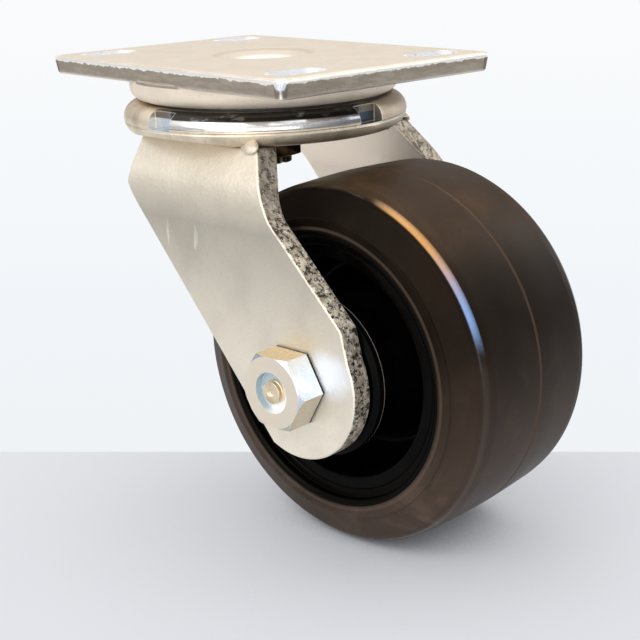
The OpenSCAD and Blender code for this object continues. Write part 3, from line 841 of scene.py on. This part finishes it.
def makeTread():
    t = treadSize
    r, e, lip = t["radius"], t["edge"], t["lip"]
    seam = t["seamHalf"]
    half = [
        (r - t["seamDepth"], 0.0001, 0), (r - t["seamDepth"], seam * 0.4, 0), (r - 0.00002, seam, 0.0003),
        (r - 0.0003, 0.012, 0.004),
        (r - 0.0009, e - 0.006, 0.004), (r - 0.0013, e - 0.0026, 0.002), (r - 0.0024, e - 0.0004, 0.0012),
        (r - 0.0044, e + 0.0014, 0.002), (t["step"] + 0.0009, lip - 0.0014, 0.0006),
        (t["step"] + 0.0005, lip - 0.0005, 0.0004), (t["step"] - 0.0006, lip - 0.0003, 0.0005),
        (t["pocket"] + 0.0012, lip, 0.001), (t["pocket"], lip - 0.0012, 0.0008), (t["pocket"], lip - 0.004, 0.0006),
        (t["core"] + 0.0006, lip - 0.004, 0.0004), (t["core"], lip - 0.0046, 0.0002),
        (t["core"], 0.001, 0),
    ]
    profile = rounded(mirrored(half), steps=4)
    mesh = turned("tread_moulding", profile, "tread_rubber", t["segments"], waver=0.00012)
    return addPiece("tread_moulding", mesh, "wheel_body", "tread_rubber", ("wheel_tread",))


def makeCore():
    c, t = coreSize, treadSize
    hub, half, web, lip = c["hub"], c["hubHalf"], c["web"], t["lip"]
    side = [
        (c["bore"], 0.001, 0), (c["bore"], half, 0.0006), (hub - 0.001, half, 0.0004), (hub, half - 0.001, 0.0004),
        (hub, half - c["skirt"] - 0.0006, 0.002), (hub + 0.002, web + 0.005, 0.006), (hub + 0.006, web, 0.005),
        (t["core"] - 0.011, web, 0.005), (t["core"] - 0.0075, web + 0.005, 0.006),
        (t["core"] - 0.005, lip - 0.0052, 0.001),
        (t["core"] - 0.0044, lip - 0.0046, 0.0006), (t["core"], lip - 0.0046, 0.0003), (t["core"], 0.001, 0),
    ]
    mesh = turned("core_casting", rounded(mirrored(side), steps=4), "core_black", c["segments"], waver=0.0001)
    return addPiece("core_casting", mesh, "wheel_body", "core_black", ("wheel_core",))


def makeCaps():
    c = capSize
    half, hub = coreSize["hubHalf"], coreSize["hub"]
    work = []
    for side in (1, -1):
        profile = [
            (c["inner"], half, 0.0003), (c["inner"], half + c["thick"], 0.0005),
            (c["outer"] - 0.0025, half + c["thick"], 0.0006),
            (c["outer"] - 0.0016, half + c["thick"] - 0.0005, 0.0005), (c["outer"], half + c["thick"] - 0.0011, 0.0006),
            (c["outer"], half - c["thick"], 0.0006), (hub, half - c["thick"], 0.0003), (hub, half, 0.0003),
        ]
        profile = [(x, side * y, q) for x, y, q in profile]
        work.append(turned("cap", rounded(profile, steps=3), "cap_black", c["segments"]))
    mesh = joinMeshes("hub_covers", work)
    return addPiece("hub_covers", mesh, "wheel_body", "cap_black", ("hub_caps",))


def joinMeshes(name, parts):
    work = bmesh.new()
    for part in parts:
        work.from_mesh(part)
    mesh = bpy.data.meshes.new(name)
    work.to_mesh(mesh)
    work.free()
    for polygon in mesh.polygons:
        polygon.use_smooth = True
    return mesh


makeTread()
makeCore()
makeCaps()
print("castor: wheel is made")

# fork and top plate
fittingSize = {"deep": 0.0034, "collar": 0.0048, "neck": 0.0032, "button": 0.0044, "high": 0.0034, "dimple": 0.0015}


def makeFitting():
    # low button fitting in the recess of the bolt head, with a dimple for the gun
    f = fittingSize
    back = f["deep"] - layout["headFace"]
    front = back - f["high"]
    profile = [
        (0.0, back, 0), (f["collar"], back, 0.0002), (f["collar"], back - 0.0016, 0.0004),
        (f["neck"], back - 0.0019, 0.0003), (f["neck"], back - 0.0027, 0.0003), (f["button"], back - 0.0031, 0.0005),
        (f["button"], front, 0.0008), (f["dimple"], front - 0.0003, 0.0004),
        (f["dimple"] * 0.6, front + 0.0007, 0.0003), (0.0, front + 0.0007, 0),
    ]
    mesh = turned("fitting_button", rounded(profile, closed=False, steps=3), "fitting_brass", 64, closed=False)
    return addPiece("fitting_button", mesh, "fork_body", "fitting_brass", ("axle_fitting",))


# how far in the blobs start, the legs' lean, and what is left of a blob's thickness outwards and downwards
weldShape = {"inner": 0.0435, "lean": 32, "flat": 0.32, "low": 0.62, "drop": 0.002}


def makeWelds():
    # the run-out blobs lie flatter on the legs than balls would
    w = weldShape
    mesh = cleanCopy("leg_welds", "weld_beads")
    lean = math.radians(w["lean"])
    outward = Vector((math.cos(lean), 0, math.sin(lean)))
    seam = Vector((layout["seamOut"], 0, layout["yokeBottom"]))
    low = layout["yokeBottom"] + w["drop"]
    for vertex in mesh.vertices:
        spot = forkTurn.inverted() @ vertex.co
        side = 1 if spot.x > 0 else -1
        if abs(spot.x) < w["inner"]:
            continue
        away = (Vector((abs(spot.x), 0, spot.z)) - seam).dot(outward)
        move = outward * (max(away, 0) * (w["flat"] - 1))
        height = spot.z + move.z
        height = low + (height - low) * w["low"] if height < low else height
        lifted = max(height - spot.z - move.z, 0) * w["low"]
        vertex.co = forkTurn @ Vector((side * (abs(spot.x) + move.x - lifted), spot.y, height))
    for polygon in mesh.polygons:
        polygon.use_smooth = True
    return addPiece("weld_beads", mesh, "fork_body", "weld_metal", ("leg_welds",))


threadSize = {"radius": 0.0095, "turns": 1.9, "pitch": 0.0012, "ridge": 0.00034, "start": 0.0764}


def makeThread():
    # the thread that shows past the axle nut: a ridge along a spiral
    t = threadSize
    tree = Growth("threading", {"Radius": t["radius"], "Turns": t["turns"], "Pitch": t["pitch"], "Ridge": t["ridge"]})
    turns = tree.input("Turns")
    spiral = tree.node("GeometryNodeCurveSpiral", {}, {
        "Resolution": 48, "Rotations": turns, "Start Radius": tree.input("Radius"),
        "End Radius": tree.input("Radius"), "Height": turns * tree.input("Pitch")})
    section = tree.node("GeometryNodeCurvePrimitiveCircle", {"mode": "RADIUS"},
                        {"Resolution": 6, "Radius": tree.input("Ridge")})
    ridge = tree.node("GeometryNodeCurveToMesh", {}, {"Curve": spiral, "Profile Curve": section, "Fill Caps": True})
    tree.close(ridge, "bolt_zinc")
    place = axleTurn @ Matrix.Translation((0, 0, t["start"]))
    mesh = tidyMesh(tree.grow("axle_thread", pointMesh("thread_seed", [(0, 0)])), place)
    return addPiece("axle_thread", mesh, "fork_body", "bolt_zinc")


# how far each kind of edge is rounded
softness = {"top_plate": 0.0011, "yoke_base": 0.0008, "leg": 0.0009, "hex": 0.0005, "washer": 0.0004}
softCopy("top_plate", "plate_body", softness["top_plate"])
softCopy("yoke_base", "fork_body", softness["yoke_base"], finish="zinc_yoke")
softCopy("leg_left", "fork_body", softness["leg"])
softCopy("leg_right", "fork_body", softness["leg"])
softCopy("axle_bolt", "fork_body", softness["hex"])
softCopy("axle_nut", "fork_body", softness["hex"])
softCopy("axle_washer", "fork_body", softness["washer"])
softCopy("kingpin_nut", "plate_body", softness["hex"])
makeFitting()
makeWelds()
makeThread()
print("castor: fork and plate are made")

for name, obj in nodes.items():
    if not obj.hide_render and name in slotOf:
        for slot in obj.material_slots:
            slot.material = finishes[slotOf[name]]
